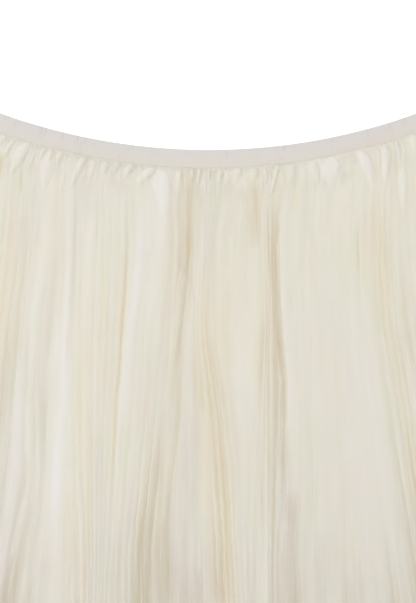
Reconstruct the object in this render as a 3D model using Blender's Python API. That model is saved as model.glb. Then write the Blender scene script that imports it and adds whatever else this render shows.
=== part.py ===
"""A pleated maxi skirt laid flat, face up, on the plane z = 0.

The waist points to +Y and the front to +Z. Three pieces are sewn together: an elastic waistband
and two accordion-pleated panels, which lie on each other and meet at the side seams. All pieces
keep a small gap where they are sewn. Lengths are in metres.
"""

import math

import bmesh
import bpy
import numpy as np

MM = 0.001

# Waistband: a ring of elastic, pressed flat, whose middle sags between its raised ends
WAIST_ROUND = 700 * MM
BAND_HEIGHT = 13 * MM
BAND_WALL = 1.5 * MM
BAND_TOP_RADIUS = 429 * MM
BAND_SPANS = 32
BEND_SPANS = 5

# Panels: pressed accordion pleats, each with two faces of one width
SKIRT_LENGTH = 950 * MM
HEM_HALF_WIDTH = 376 * MM
HEM_SIDE_RISE = 58 * MM
PLEATS = 66
PLEAT_FACE = 6.5 * MM
STEEPEST_FACE = math.radians(50)
CLOTH_RISE = 1.7 * MM  # the wall measured straight up, which is 1.1 mm square to the steepest face
SEAM_RISE = 1.0 * MM  # the same where the pleats are stitched down flat under the band

# How the pieces lie on each other
GAP = 0.3 * MM
SEAM_LAP = 4 * MM
SEAM_CLEAR = 0.6 * MM
PUFF_LENGTH = 14 * MM
BACK_HEIGHT = 5.6 * MM
VALLEY_START, VALLEY_END = 0.36, 0.64  # the flat part of a back pleat, as shares of its pitch
FRONT_REST_LIFT = 2.5 * MM
FULL_LIFT_DEPTH = 60 * MM
SIDE_SEAM_SHARPNESS = 12

BAND_LOW_RADIUS = BAND_TOP_RADIUS + BAND_HEIGHT
BAND_MID_RADIUS = BAND_TOP_RADIUS + BAND_HEIGHT / 2
BAND_DEPTH = 2 * (BAND_WALL + GAP + SEAM_RISE) + GAP
HALF_WAIST = WAIST_ROUND / 4
SEAM_HALF_WAIST = HALF_WAIST - GAP

# Depths below the band's lowest point at which a panel's fold lines are placed
DEPTHS = [depth * MM for depth in (50, 105, 160, 215, 275)]

# Front fold lines, which open some pleats and squeeze others. "pleat" counts from the wearer's
# right side. The rest are distances from the centre line in mm: along the band, then straight
# across at each of DEPTHS and at the hem.
FRONT_LINES = (
    # pleat, band, 50, 105, 160, 215, 275, hem
    (0, -175, -194, -206, -218, -230, -243, -376),
    (10, -127, -132, -138, -143, -149, -156, -264),
    (14, -110, -114, -119, -122, -123, -133, -220),
    (16, -100, -100, -103, -107, -110, -113, -196),
    (18, -90, -93, -94, -94, -93, -91, -173),
    (25, -56, -57, -60, -64, -67, -70, -97),
    (28, -37, -39, -44, -48, -53, -58, -63),
    (32, -15, -14, -18, -24, -28, -32, -19),
    (36, -1, -2, -4, 2, 7, 10, 27),
    (39, 9, 5, 4, 11, 17, 20, 61),
    (42, 34, 36, 38, 36, 34, 32, 94),
    (44, 40, 42, 43, 42, 42, 42, 117),
    (46, 47, 47, 48, 53, 52, 49, 139),
    (47, 57, 57, 60, 62, 62, 59, 151),
    (54, 114, 115, 117, 125, 134, 144, 233),
    (57, 125, 128, 132, 141, 148, 159, 267),
    (66, 175, 194, 206, 218, 230, 243, 376),
)
BACK_LINES = (
    # pleat, band, 50, 105, 160, 215, 275, hem
    (0, -175, -194, -206, -218, -230, -243, -376),
    (13, -108, -118, -128, -133, -139, -146, -222),
    (27, -35, -34, -38, -41, -45, -49, -71),
    (40, 34, 40, 41, 44, 43, 46, 82),
    (52, 101, 107, 118, 124, 132, 136, 213),
    (66, 175, 194, 206, 218, 230, 243, 376),
)

# The front's largest folds follow its pleats. "reach" is a fold's half width in pleats and "lift"
# is how far it stands above (+) or sinks below (-) the cloth beside it. It runs from "start" to
# "end", both in mm below the band's lowest point.
FRONT_FOLDS = (
    # pleat, reach, lift, start, end
    (11.0, 1.2, -2.0, 90, 200),
    (12.4, 1.4, 2.5, 110, 270),
    (14.6, 1.0, -2.5, 200, 420),
    (16.4, 1.3, 2.5, 10, 420),
    (18.2, 1.0, -2.5, 10, 110),
    (26.5, 1.8, 2.5, 2, 110),
    (30.0, 2.0, -2.5, 190, 520),
    (32.0, 1.0, -2.5, 5, 190),
    (37.5, 1.2, -2.0, 90, 330),
    (40.5, 1.5, 1.5, 60, 300),
    (45.4, 1.0, -2.5, 20, 220),
    (46.8, 1.0, 2.0, 50, 180),
    (47.5, 1.4, -2.5, 260, 460),
    (50.0, 2.5, 1.5, 20, 300),
    (54.0, 1.2, -2.0, 20, 290),
    (8.0, 1.6, -2.0, 330, 800),
    (22.0, 2.2, 1.5, 380, 900),
    (35.0, 1.6, -2.0, 430, 860),
    (42.5, 1.8, 1.8, 400, 840),
    (58.5, 1.5, 2.0, 120, 640),
    (61.0, 1.4, -2.0, 240, 900),
)

# Rows below the puffed gathers, as shares of the way to the hem
FRONT_ROWS = (0.05, 0.12, 0.20, 0.32, 0.56, 1.0)
BACK_ROWS = (0.28, 0.62, 1.0)


def smooth_through(knots, values, wanted):
    """A curve through values at rising knots that never overshoots them, read at wanted."""
    knots = np.asarray(knots, float)
    values = np.asarray(values, float)
    steps = np.diff(knots)
    slopes = np.diff(values) / steps
    inner = slopes[:-1] * slopes[1:]
    spread = np.abs(slopes[:-1]) + np.abs(slopes[1:]) + 1e-12
    middle = np.where(inner > 0, 2 * inner * np.sign(slopes[1:]) / spread, 0)
    tangents = np.concatenate([slopes[:1], middle, slopes[-1:]])
    span = np.clip(np.searchsorted(knots, wanted, side="right") - 1, 0, len(steps) - 1)
    step = steps[span]
    t = (wanted - knots[span]) / step
    start = values[span] * (1 + 2 * t) * (1 - t) ** 2 + tangents[span] * step * t * (1 - t) ** 2
    end = values[span + 1] * t**2 * (3 - 2 * t) + tangents[span + 1] * step * t**2 * (t - 1)
    return start + end


def on_arc(along, radius):
    """The point at a distance along the band's middle line, moved to another radius."""
    angle = along / BAND_MID_RADIUS
    return radius * math.sin(angle), BAND_LOW_RADIUS - radius * math.cos(angle)


def fold_line(line_table, pleat, shares):
    """A fold line's points: under the band, at its edge, past the gathers, then down to the hem."""
    lines = np.array(line_table, float)
    placed = [smooth_through(lines[:, 0], column, pleat) * MM for column in lines.T[1:]]
    at_band = placed[0] * SEAM_HALF_WAIST / HALF_WAIST
    points = []
    for beyond in (-SEAM_LAP, SEAM_CLEAR, PUFF_LENGTH):
        points.append(on_arc(at_band, BAND_LOW_RADIUS + beyond))
    puff_x, puff_y = points[-1]
    hem_x = placed[-1]
    hem_y = -SKIRT_LENGTH + HEM_SIDE_RISE * (hem_x / HEM_HALF_WIDTH) ** 2
    drops = [-puff_y, *DEPTHS, -hem_y]
    across = [puff_x, *placed[1:-1], hem_x]
    for share in shares:
        drop = (hem_y - puff_y) * share + puff_y
        points.append((smooth_through(drops, across, -drop), drop))
    return points


def panel_plan(line_table, pleats, shares):
    """The places of a panel's grid, as x and y with a row across for each step down."""
    lines = [fold_line(line_table, pleat, shares) for pleat in pleats]
    grid = np.array(lines).transpose(1, 0, 2)
    return grid[:, :, 0], grid[:, :, 1]


def pleat_height(half_pitch):
    """How far a ridge stands above its valleys: the faces keep their width as the pleat opens."""
    standing = math.sqrt(max(PLEAT_FACE**2 - half_pitch**2, 0))
    return min(standing, half_pitch * math.tan(STEEPEST_FACE))


def fold_lift(pleat, depth):
    """How far the front stands above its resting height at a point, from its largest folds."""
    lift = 0.0
    for centre, reach, height, start, end in FRONT_FOLDS:
        across = (pleat - centre) / reach
        down = (depth / MM - start) / (end - start)
        if 0 < down < 1:
            lift += height * MM * math.exp(-(across**2)) * math.sqrt(math.sin(math.pi * down))
    return lift


def panel_wall(name, x, y, low, high, material):
    """A closed wall between two grids of heights, low and high, over one grid of places."""
    rows, columns = x.shape
    shape = bmesh.new()

    def sheet(height):
        return [
            [shape.verts.new((x[j, i], y[j, i], height[j, i])) for i in range(columns)]
            for j in range(rows)
        ]

    under, over = sheet(low), sheet(high)
    for j in range(rows - 1):
        for i in range(columns - 1):
            for side in (under, over):
                shape.faces.new((side[j][i], side[j + 1][i], side[j + 1][i + 1], side[j][i + 1]))
    rim = [(0, i) for i in range(columns)]
    rim += [(j, columns - 1) for j in range(1, rows)]
    rim += [(rows - 1, i) for i in range(columns - 2, -1, -1)]
    rim += [(j, 0) for j in range(rows - 2, 0, -1)]
    for (j, i), (k, m) in zip(rim, rim[1:] + rim[:1]):
        shape.faces.new((over[j][i], over[k][m], under[k][m], under[j][i]))
    return add_object(name, shape, material)


def add_object(name, shape, material):
    """A new object made from a bmesh shape, with its faces pointing out."""
    bmesh.ops.recalc_face_normals(shape, faces=shape.faces)
    mesh = bpy.data.meshes.new(name)
    shape.to_mesh(mesh)
    shape.free()
    mesh.materials.append(material)
    piece = bpy.data.objects.new(name, mesh)
    bpy.context.collection.objects.link(piece)
    return piece


def make_panel_front(material):
    """The front panel: each side ends on a valley, and the largest folds run down it."""
    pleats = np.arange(2 * PLEATS + 1) / 2
    x, y = panel_plan(FRONT_LINES, pleats, FRONT_ROWS)
    low = np.full(x.shape, (BAND_DEPTH + GAP) / 2)
    high = low + SEAM_RISE
    half_pitch = np.hypot(np.gradient(x, axis=1), np.gradient(y, axis=1))
    for j in range(2, len(x)):
        for i, pleat in enumerate(pleats):
            depth = -y[j, i]
            beyond_band = math.hypot(x[j, i], y[j, i] - BAND_LOW_RADIUS) - BAND_LOW_RADIUS
            rest = FRONT_REST_LIFT * min(beyond_band / FULL_LIFT_DEPTH, 1)
            inward = 1 - abs(2 * pleat / PLEATS - 1) ** SIDE_SEAM_SHARPNESS
            lift = max(rest + fold_lift(pleat, depth), 0) * inward
            ridge = pleat_height(half_pitch[j, i]) if i % 2 else 0
            low[j, i] = BACK_HEIGHT + GAP + lift + ridge
            high[j, i] = low[j, i] + CLOTH_RISE
    return panel_wall("panel_front", x, y, low, high, material)


def make_panel_back(material):
    """The back panel: each side ends on a ridge, and its valleys lie flat on the surface."""
    pleats = [0]
    for pleat in range(PLEATS):
        pleats += [pleat + VALLEY_START, pleat + VALLEY_END, pleat + 1]
    x, y = panel_plan(BACK_LINES, pleats, BACK_ROWS)
    high = np.full(x.shape, (BAND_DEPTH - GAP) / 2)
    low = high - SEAM_RISE
    for i, pleat in enumerate(pleats):
        ridge = BACK_HEIGHT - CLOTH_RISE if pleat == int(pleat) else 0
        low[2:, i] = ridge
        high[2:, i] = ridge + CLOTH_RISE
    return panel_wall("panel_back", x, y, low, high, material)


def flattened_ring(inset):
    """The band's outline seen along its width: two straight runs joined by half-round ends."""
    radius = BAND_DEPTH / 2 - inset
    runs = np.linspace(-HALF_WAIST, HALF_WAIST, BAND_SPANS + 1)
    turns = [math.pi * step / BEND_SPANS for step in range(1, BEND_SPANS)]
    bend = [(HALF_WAIST + radius * math.sin(turn), radius * math.cos(turn)) for turn in turns]
    ring = [(along, BAND_DEPTH - inset) for along in runs]
    ring += [(along, BAND_DEPTH / 2 + rise) for along, rise in bend]
    ring += [(-along, inset) for along in runs]
    ring += [(-along, BAND_DEPTH / 2 - rise) for along, rise in bend]
    return ring


def make_waistband(material):
    """The elastic ring, pressed flat, with the panels' top edges between its two layers."""
    shape = bmesh.new()
    loops = []
    for inset, radius in (
        (0, BAND_TOP_RADIUS),
        (0, BAND_LOW_RADIUS),
        (BAND_WALL, BAND_LOW_RADIUS),
        (BAND_WALL, BAND_TOP_RADIUS),
    ):
        ring = flattened_ring(inset)
        loops.append([shape.verts.new((*on_arc(along, radius), height)) for along, height in ring])
    for loop, beside in zip(loops, loops[1:] + loops[:1]):
        for here, after, across, back in zip(loop, loop[1:] + loop[:1], beside[1:] + beside[:1], beside):
            shape.faces.new((here, after, across, back))
    return add_object("waistband", shape, material)


def make_material(name, colour, roughness):
    """A plain Principled material."""
    material = bpy.data.materials.new(name)
    material.use_nodes = True
    shader = material.node_tree.nodes["Principled BSDF"]
    shader.inputs["Base Color"].default_value = (*colour, 1)
    shader.inputs["Roughness"].default_value = roughness
    shader.inputs["Metallic"].default_value = 0
    return material


def main():
    for old in list(bpy.data.objects):
        bpy.data.objects.remove(old, do_unlink=True)
    pieces = [
        make_waistband(make_material("elastic", (0.71, 0.67, 0.63), 0.75)),
        make_panel_front(make_material("front_cloth", (0.76, 0.72, 0.62), 0.8)),
        make_panel_back(make_material("back_cloth", (0.76, 0.72, 0.62), 0.8)),
    ]

    # The skirt's origin is the middle of its box, on the surface that it lies on
    corners = np.array([vertex.co for piece in pieces for vertex in piece.data.vertices])
    middle = (corners.min(axis=0) + corners.max(axis=0)) / 2
    skirt = bpy.data.objects.new("skirt", None)
    skirt.location = (-middle[0], -middle[1], 0)
    bpy.context.collection.objects.link(skirt)
    for piece in pieces:
        piece.parent = skirt


main()
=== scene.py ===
"""A pleated maxi skirt laid flat on a white table, seen straight from above, close to its waist."""

import math

import bpy
import numpy as np
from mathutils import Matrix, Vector


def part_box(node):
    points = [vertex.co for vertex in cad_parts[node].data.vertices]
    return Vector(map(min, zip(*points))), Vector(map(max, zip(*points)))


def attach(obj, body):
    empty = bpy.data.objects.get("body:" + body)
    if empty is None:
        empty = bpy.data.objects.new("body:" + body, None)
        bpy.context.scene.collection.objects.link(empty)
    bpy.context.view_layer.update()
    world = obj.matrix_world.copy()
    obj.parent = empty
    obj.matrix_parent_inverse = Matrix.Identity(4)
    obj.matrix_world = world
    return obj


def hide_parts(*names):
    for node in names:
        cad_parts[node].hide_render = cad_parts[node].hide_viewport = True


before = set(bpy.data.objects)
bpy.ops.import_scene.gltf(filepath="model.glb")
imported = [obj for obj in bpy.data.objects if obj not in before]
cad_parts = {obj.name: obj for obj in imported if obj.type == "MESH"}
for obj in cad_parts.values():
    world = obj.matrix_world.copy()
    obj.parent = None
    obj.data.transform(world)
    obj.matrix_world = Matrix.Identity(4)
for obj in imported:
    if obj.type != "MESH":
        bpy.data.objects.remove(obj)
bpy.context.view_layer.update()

MM = 0.001

# The waistband: an elastic ring pressed flat, whose middle sags between its raised ends
BAND_HEIGHT = 13 * MM
BAND_WALL = 1.5 * MM
BAND_DEPTH = 5.9 * MM
BAND_EDGE_ROUNDNESS = 0.25 * MM
BAND_EDGE_STEPS = 4
BAND_LOW_RADIUS = 442 * MM
BAND_MID_RADIUS = BAND_LOW_RADIUS - BAND_HEIGHT / 2
HALF_WAIST = 175 * MM
RIB_PITCH = 1.0 * MM
RIB_DEPTH = 0.07 * MM
RIB_WAVE = (0, 0.5, 1, 0.5)  # how deep the strip sinks at its stations along one rib

# The panels, cut from cloth with pressed accordion pleats
SKIRT_LENGTH = 950 * MM
HEM_HALF_WIDTH = 376 * MM
HEM_SIDE_RISE = 58 * MM
HEM_WAVE = 2.5 * MM
PLEATS = 66
PLEAT_FACE = 6.5 * MM
PLEAT_SWAY = 4 * MM
LOWEST_PLEAT = 0.8 * MM
NARROW_PITCH = 5.5 * MM
STEEPEST_FACE = math.radians(50)
SOFTEST_FACE = math.radians(11)
CREASE_SHARES = (0, 0.06, 0.25, 0.44, 0.5, 0.56, 0.75, 0.94)
# The painted light and shade lines along the creases are this wide on each side
CREASE_HALF_WIDTH = 0.09  # of a pleat
HEM_ROLL = 0.8 * MM
STITCH_PITCH = 1.2 * MM
RELIEF_DEPTH = 0.2 * MM  # of the cloth's grain and the threads, at full strength

# Heights above the table: of the back's sheet inside the band and in its valleys, and of the front's
# inside the band, out of which it comes through the band's lower edge
BACK_TUCKED = 2.4 * MM
BACK_VALLEY = 0.4 * MM
BACK_TOP = 5.6 * MM
BACK_TALLEST_PLEAT = BACK_TOP - 1.2 * MM
FRONT_TUCKED = 4.1 * MM
FRONT_EMERGED = BAND_DEPTH + 0.05 * MM
FRONT_FLOOR = 5.9 * MM
CLOTH_RISE = 0.85 * MM  # from a panel's under side to the middle of its wall
SIDE_SEAM_Z = (BACK_TOP + FRONT_FLOOR) / 2

# The row frame's y at the lowest point of the band's lower edge
WAIST_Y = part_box("waistband")[0][1]

# Depths below that point at which a panel's fold lines are placed, after the one beside the band
# down to which they keep to the band's own direction
TURN = 9 * MM
DEPTHS = [depth * MM for depth in (50, 105, 160, 215, 275)]

# Fold lines: the pleat they lie on, then distances from the centre line in mm, along the band,
# then straight across at each of DEPTHS and at the hem
FRONT_LINES = (
    # pleat, band, 50, 105, 160, 215, 275, hem
    (0, -175, -194, -206, -218, -230, -243, -376),
    (10, -127, -132, -138, -143, -149, -156, -264),
    (14, -110, -114, -119, -122, -123, -133, -220),
    (16, -100, -100, -103, -107, -110, -113, -196),
    (18, -90, -93, -94, -94, -93, -91, -173),
    (25, -56, -57, -60, -64, -67, -70, -97),
    (28, -37, -39, -44, -48, -53, -58, -63),
    (32, -15, -14, -18, -24, -28, -32, -19),
    (36, -1, -2, -4, 2, 7, 10, 27),
    (39, 9, 5, 4, 11, 17, 20, 61),
    (42, 34, 36, 38, 36, 34, 32, 94),
    (44, 40, 42, 43, 42, 42, 42, 117),
    (46, 47, 47, 48, 53, 52, 49, 139),
    (47, 57, 57, 60, 62, 62, 59, 151),
    (54, 114, 115, 117, 125, 134, 144, 233),
    (57, 125, 128, 132, 141, 148, 159, 267),
    (66, 175, 194, 206, 218, 230, 243, 376),
)
BACK_LINES = (
    # pleat, band, 50, 105, 160, 215, 275, hem
    (0, -175, -194, -206, -218, -230, -243, -376),
    (13, -108, -118, -128, -133, -139, -146, -222),
    (27, -35, -34, -38, -41, -45, -49, -71),
    (40, 34, 40, 41, 44, 43, 46, 82),
    (52, 101, 107, 118, 124, 132, 136, 213),
    (66, 175, 194, 206, 218, 230, 243, 376),
)

# Folds run along the pleats, from one pleat to another over a stretch in mm below the band. The
# cloth stands "lift" mm above (+) or sinks below (-) what lies beside it, and fades to it over
# "left" and "right" pleats. "tone" is painted light (+) or painted shade (-) on the fold, partly
# for cloth thin over the white table or stacked in layers; "warmth" makes it more golden (+), as
# painted warm shade, or pearly (-), as a painted sheen; and "crisp" says how much sharper (+) or
# flatter (-) its pleats are.
FOLD_BLUNTNESS = 0.6  # the power that keeps a fold strong until close to its two ends
FRONT_FOLDS = (
    # from, to, start, end, left, right, lift, tone, warmth, crisp

    # Broad soft painted shades and painted light, with no relief
    (9.0, 9.0, -20, 330, 3.0, 3.0, 0, -0.15, 0.1, 0),
    (10.5, 10.5, 150, 700, 3.0, 3.0, 0, -0.1, -0.8, 0),
    (14.0, 14.0, -10, 110, 5.0, 6.0, 0, -0.15, 0, 0),
    (15.5, 15.0, 80, 360, 2.5, 2.5, 0, 0.1, -0.5, 0),
    (18.5, 18.0, 130, 420, 2.5, 4.0, 0, 0.15, 0.4, 0),
    (24.0, 24.0, 150, 500, 3.0, 3.0, 0, 0, -0.3, 0),
    (34.0, 34.0, 70, 240, 1.4, 1.8, 0, -0.35, 0.3, 0),
    (34.5, 34.5, -10, 80, 7.0, 6.0, 0, -0.4, 0.1, 0),
    (34.5, 34.5, 210, 600, 2.2, 2.0, 0, -0.2, 0, 0),
    (37.8, 37.0, 60, 460, 2.2, 2.0, 0, 0.15, 0.7, 0.3),
    (44.0, 44.4, 15, 290, 1.6, 1.2, 0, -0.4, 0.3, 0.3),
    (51.5, 52.0, 60, 700, 5.5, 5.5, 0, 0.3, -0.3, -0.1),
    (52.0, 52.0, 240, 620, 4.0, 3.0, 0, -0.4, -0.2, 0),
    (56.0, 55.5, 235, 600, 2.5, 3.0, 0, -0.6, 0, 0),
    (57.0, 57.5, -20, 280, 2.0, 3.0, 0, -0.15, 0, 0.1),

    # Folds and single creases, from left to right
    (7.0, 6.8, 12, 34, 0.6, 0.6, -0.2, -0.5, 1.3, 0),
    (8.3, 8.9, 30, 160, 1.6, 1.3, 0.2, 0.35, 0.75, 0.4),
    (9.9, 10.0, 18, 38, 0.2, 0.2, -0.3, -0.3, 1.2, 0),
    (10.1, 9.4, 30, 170, 0.15, 0.15, 0.5, 0.5, 0, 0),
    (10.7, 10.2, 50, 290, 0.8, 0.8, -0.3, -0.15, 0.4, 0.2),
    (11.9, 12.1, 150, 330, 0.6, 0.6, 0.8, 1.3, -0.7, -0.4),
    (12.45, 12.85, 170, 245, 0.35, 0.35, 0.2, 0.7, 0, 0),
    (12.9, 13.1, 125, 180, 0.4, 0.4, -0.2, -0.6, 0.1, 0),
    (13.1, 12.6, 190, 330, 0.4, 0.35, -0.3, -0.4, 0.3, 0.1),
    (13.3, 13.2, 285, 420, 0.4, 0.4, -0.2, -0.7, 0.1, 0),
    (13.4, 13.7, 170, 285, 0.3, 0.3, 0.4, 0.7, 0.1, 0),
    (13.45, 13.4, 215, 250, 0.3, 0.3, -0.2, -0.7, 0.6, 0),
    (13.5, 13.4, 285, 440, 0.4, 0.35, -0.3, -0.6, 0.1, 0),
    (13.7, 13.0, 2, 60, 0.7, 0.6, 0.8, 0.1, -0.3, -0.4),
    (13.8, 13.9, 175, 255, 0.3, 0.3, 0.3, 0.7, -0.1, 0),
    (13.9, 14.2, 180, 420, 0.45, 0.4, -0.5, -0.55, 0.25, 0.1),
    (14.1, 14.8, 150, 270, 0.1, 0.1, 0.3, 0.8, 0, 0),
    (14.5, 14.3, 95, 230, 0.8, 0.7, 0, -0.4, 0, -0.2),
    (14.5, 13.5, 15, 175, 0.9, 0.4, 0.8, 0.8, 0.1, -0.4),
    (14.9, 14.9, 140, 180, 0.35, 0.35, 0.2, 0.4, -0.3, 0),
    (15.3, 14.7, 80, 290, 0.7, 0.7, -0.2, -0.3, 0.1, -0.2),
    (15.55, 15.5, 115, 165, 0.35, 0.35, 0.2, 1.0, -0.4, 0),
    (16.85, 16.85, 235, 480, 0.4, 0.4, 0.3, 0.55, 0.1, 0),
    (16.9, 16.1, 120, 290, 0.7, 0.5, 0.3, 0.8, -0.3, -0.3),
    (16.9, 16.9, 120, 160, 0.35, 0.3, -0.2, -0.6, 0.2, 0),
    (17.1, 16.2, 10, 260, 0.7, 0.6, 0.8, 1.0, -0.7, -0.6),
    (17.4, 17.3, 235, 420, 0.5, 0.4, -0.1, -0.3, 0.6, 0),
    (17.9, 17.7, 30, 150, 0.4, 0.4, -0.4, -0.3, -0.1, 0),
    (19.5, 21.0, -5, 10, 3.5, 3.5, 0, -0.25, 0, 0),
    (19.85, 19.4, 145, 240, 0.5, 0.5, 0.2, 0.5, -0.35, 0),
    (20.0, 18.8, 70, 460, 1.9, 1.8, 0.2, 0, 0.5, 1.0),
    (20.4, 19.6, 38, 145, 0.7, 0.6, 0.5, 0.9, 0.3, -0.3),
    (21.2, 21.0, 20, 65, 0.2, 0.3, -0.4, -0.4, 0.5, 0),
    (21.65, 21.65, 125, 195, 0.6, 0.6, 0.1, 0.65, 0.2, 0),
    (22.8, 23.0, 30, 220, 1.2, 1.2, 0, -0.05, 0.45, 0.2),
    (24.2, 25.0, 55, 140, 0.4, 0.4, 0, 0, 0.6, 0),
    (24.4, 24.5, 155, 235, 0.6, 0.4, 0, 0.15, 0.6, 0),
    (25.0, 25.0, 20, 260, 0.22, 0.22, -0.6, -0.5, 1.2, 0),
    (25.1, 25.4, 155, 235, 0.3, 0.4, 0.2, 0.5, -0.3, 0),
    (26.6, 27.0, 170, 420, 1.2, 1.2, 0.3, -0.1, 0.1, 0.5),
    (27.0, 25.8, 18, 185, 0.8, 0.9, 1.0, 1.2, -1.0, -0.6),
    (27.2, 26.8, 35, 90, 0.6, 0.6, 0, 0.1, -0.5, 0),
    (28.3, 28.3, 275, 430, 0.6, 0.6, -0.2, -0.6, 0.6, 0),
    (28.4, 28.2, 150, 420, 0.06, 0.06, 0.1, 1.1, 0.1, 0),
    (28.8, 27.6, 0, 60, 1.2, 1.0, 0.6, 0.7, -0.6, -0.5),
    (28.8, 28.9, 20, 130, 1.0, 0.9, 0.4, 0.9, 0, -0.4),
    (29.3, 29.0, 170, 420, 0.06, 0.06, 0.1, 1.3, 0.2, 0),
    (29.95, 30.2, 225, 430, 0.3, 0.3, 0.1, 0.25, -0.1, 0),
    (30.3, 30.2, 165, 560, 1.8, 1.5, -0.3, -0.6, 0.8, 0.7),
    (30.3, 29.9, 150, 440, 0.06, 0.06, 0.1, 1.3, 0.2, 0),
    (30.4, 29.0, 240, 430, 1.1, 1.2, -0.1, -0.8, 0.1, 0),
    (30.5, 31.4, 35, 175, 0.1, 0.1, 0.3, 0.8, 0.2, 0),
    (30.5, 31.4, 195, 290, 0.4, 0.4, -0.2, -0.45, 0.35, 0),
    (30.7, 30.8, 20, 150, 0.9, 0.9, -0.3, -0.2, 0.5, 0.4),
    (31.0, 35.0, 65, 101, 0.4, 0.4, -0.2, -0.35, 0, 0),
    (31.1, 31.5, 185, 245, 0.3, 0.3, -0.2, -0.5, 0.1, 0),
    (31.2, 30.9, 70, 135, 0.4, 0.4, 0.2, 0.35, -0.25, 0),
    (31.4, 31.0, 140, 420, 0.06, 0.06, 0.1, 1.2, 0.2, 0),
    (31.6, 32.1, 75, 140, 0.4, 0.4, -0.2, -0.5, 0, 0),
    (31.7, 31.8, 280, 400, 0.35, 0.35, -0.2, -0.35, 0.3, 0),
    (31.8, 31.8, 110, 170, 0.4, 0.4, -0.1, -0.2, 0.5, 0),
    (31.9, 31.85, 185, 250, 0.25, 0.25, 0.3, 0.55, -0.15, 0),
    (32.0, 32.6, 190, 330, 0.3, 0.3, -0.2, -0.6, 0.2, 0),
    (32.1, 31.9, 40, 100, 0.6, 0.6, -0.1, -0.3, 0.4, 0.3),
    (32.1, 32.1, 70, 170, 0.4, 0.3, -0.2, -0.35, 0.2, 0.2),
    (32.5, 31.9, 6, 75, 0.5, 0.4, -0.3, -0.55, 0.9, 0.2),
    (32.8, 32.4, 5, 330, 0.4, 0.15, -0.6, -0.4, 0.5, 0),
    (33.1, 33.2, 100, 360, 0.4, 0.5, 0.4, 0.35, -0.7, -0.3),
    (33.2, 33.5, 160, 420, 0.4, 0.4, -0.2, -0.65, 0.1, 0),
    (33.6, 33.6, 225, 460, 0.6, 0.5, 0.2, 0.2, -0.6, -0.2),
    (33.85, 33.9, 240, 310, 0.25, 0.25, 0.2, 0.45, -0.4, 0),
    (34.2, 34.3, 280, 420, 0.35, 0.35, -0.2, -0.5, 0.2, 0),
    (34.4, 34.2, 105, 175, 0.4, 0.4, -0.1, -0.15, 0.9, 0),
    (34.5, 34.4, 225, 480, 0.3, 0.3, -0.3, -0.3, -0.2, 0),
    (34.75, 34.65, 235, 400, 0.25, 0.25, 0.2, 0.6, -0.1, 0),
    (34.85, 34.7, 165, 245, 0.3, 0.3, 0.3, 0.75, -0.1, 0),
    (34.9, 35.1, 25, 75, 0.35, 0.35, 0.2, 0.7, 0, 0),
    (35.0, 35.0, 150, 420, 0.06, 0.06, 0.1, 0.9, 0.3, 0),
    (35.2, 34.9, 220, 400, 0.35, 0.35, -0.2, -0.35, 0.1, 0),
    (36.4, 36.2, 60, 460, 1.4, 1.2, -0.2, -0.25, 0.8, 0.7),
    (36.5, 36.5, 130, 420, 0.05, 0.05, 0.1, 0.8, 0.2, 0),
    (37.4, 36.6, 215, 480, 0.35, 0.35, 0.1, 0.35, -0.5, 0),
    (37.6, 37.4, 110, 440, 0.6, 0.4, -0.2, -0.25, 0.6, 0),
    (38.2, 38.6, 120, 190, 0.6, 0.6, -0.2, -0.25, 0.45, 0),
    (38.4, 38.0, 150, 420, 0.06, 0.06, 0.1, 0.9, 0.3, 0),
    (40.1, 40.1, 22, 80, 0.5, 0.5, 0.1, 0.2, -0.15, 0),
    (40.8, 40.8, 100, 190, 0.6, 0.6, 0, 0.55, -0.1, 0),
    (41.0, 41.0, 5, 430, 2.6, 2.2, 0.3, 0, 0.2, 0),
    (41.7, 41.6, 10, 58, 0.5, 0.45, -0.4, -0.75, 1.1, 0.2),
    (41.8, 42.0, 105, 175, 0.5, 0.5, -0.3, -0.45, 0.5, 0.1),
    (42.2, 42.3, 30, 160, 0.1, 0.15, 0.2, 0.5, 0.2, 0),
    (42.4, 43.1, 70, 140, 0.7, 0.6, 0, 0, 0.6, 0),
    (42.8, 42.7, 0, 27, 0.12, 0.12, -0.4, -0.6, 0.3, 0),
    (43.0, 43.0, 235, 420, 0.35, 0.35, 0.2, 0.7, -0.1, 0),
    (43.3, 43.5, 20, 420, 1.2, 1.4, -0.2, -0.15, 0.35, 0.4),
    (43.5, 44.9, 22, 92, 0.5, 0.5, -0.3, -0.45, 0.4, 0.1),
    (43.7, 43.7, 170, 400, 0.12, 0.1, 0.2, 0.4, 0.2, 0),
    (43.8, 43.7, 145, 480, 0.35, 0.35, 0.3, 1.0, -0.2, 0),
    (44.0, 44.0, 150, 420, 0.1, 0.5, -0.3, -0.25, -0.1, 0),
    (44.8, 44.9, 180, 480, 0.6, 0.5, -0.4, -0.5, -0.3, 0),
    (45.3, 45.5, 25, 180, 0.7, 0.6, -0.1, -0.3, 0.2, 0.2),
    (45.3, 45.2, 130, 205, 0.4, 0.4, -0.2, -0.35, -0.25, 0),
    (45.7, 46.2, 210, 275, 0.3, 0.25, 0.4, 0.6, -0.8, 0),
    (45.8, 46.35, 20, 180, 1.0, 0.3, -0.7, -0.95, 0.7, 0.3),
    (45.8, 45.7, 245, 420, 0.35, 0.35, -0.2, -0.4, 0.1, 0),
    (46.0, 46.1, 150, 275, 0.8, 0.2, -0.7, -0.75, 0.1, 0.2),
    (46.0, 46.0, 75, 125, 0.35, 0.35, 0.2, 0.5, -0.5, 0),
    (46.4, 46.5, 165, 255, 0.3, 0.35, -0.5, -0.7, 0, 0),
    (46.5, 46.2, 60, 130, 0.35, 0.3, -0.3, -0.4, -0.1, 0),
    (46.8, 46.6, 15, 235, 0.35, 0.6, 0.8, 0.6, -0.5, -0.4),
    (46.8, 46.9, 230, 480, 0.5, 0.7, -0.5, -0.95, -0.3, 0.1),
    (47.15, 47.15, 235, 420, 0.3, 0.3, -0.2, -0.3, -0.3, 0),
    (47.2, 47.3, 0, 19, 0.12, 0.12, -0.4, -0.6, 0, 0),
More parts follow.
